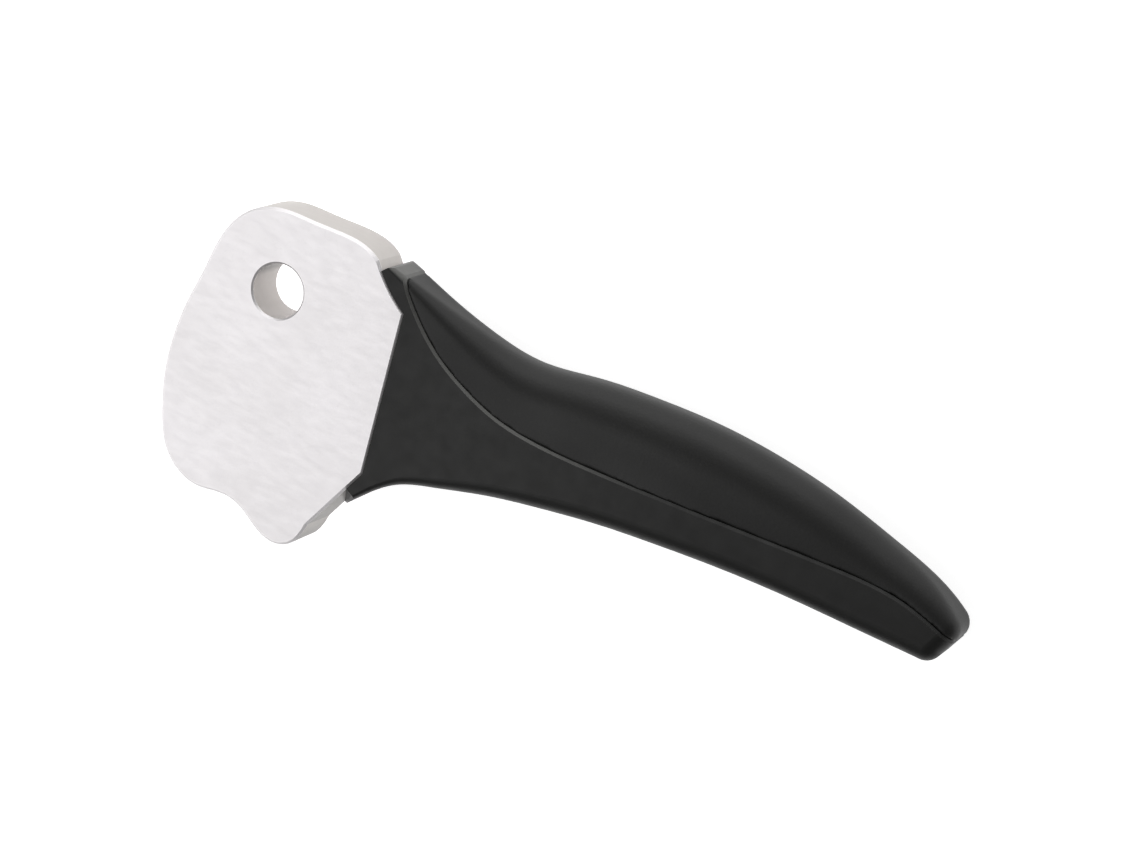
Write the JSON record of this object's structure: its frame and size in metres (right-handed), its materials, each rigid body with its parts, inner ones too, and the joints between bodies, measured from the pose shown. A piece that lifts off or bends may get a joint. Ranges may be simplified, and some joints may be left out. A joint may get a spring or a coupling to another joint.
{
  "type": "manual can opener",
  "caption": "Lever-type hand can opener: thick rounded metal rocker head with a hang hole, and a flared black handle with a soft cover over its crown.",
  "frame": {"origin": "under the middle of the bounding box, at the lowest point of the handle's rear side, with the tool lying on its rear side", "axes": "+X along the handle from the head to the tail, +Y across the head towards the hang hole and the soft cover, +Z out of the head's front face"},
  "size_m": [0.1684, 0.0644, 0.0164],
  "materials": {
    "head_metal": "satin, finely blasted, bright broken edges",
    "handle_nylon": "hard black nylon with a fine moulded grain",
    "soft_grip": "soft-touch black elastomer, satin matte",
    "screw_steel": "zinc plated",
    "insert_brass": "turned"
  },
  "bodies": {
    "root": {"rocker_head": "head_metal", "handle_shell_front": "handle_nylon", "handle_shell_rear": "handle_nylon", "grip_cover": "soft_grip", "shell_screw_collar": "screw_steel", "shell_screw_middle": "screw_steel", "shell_screw_tail": "screw_steel", "thread_insert_collar": "insert_brass", "thread_insert_middle": "insert_brass", "thread_insert_tail": "insert_brass"}
  },
  "joints": []
}
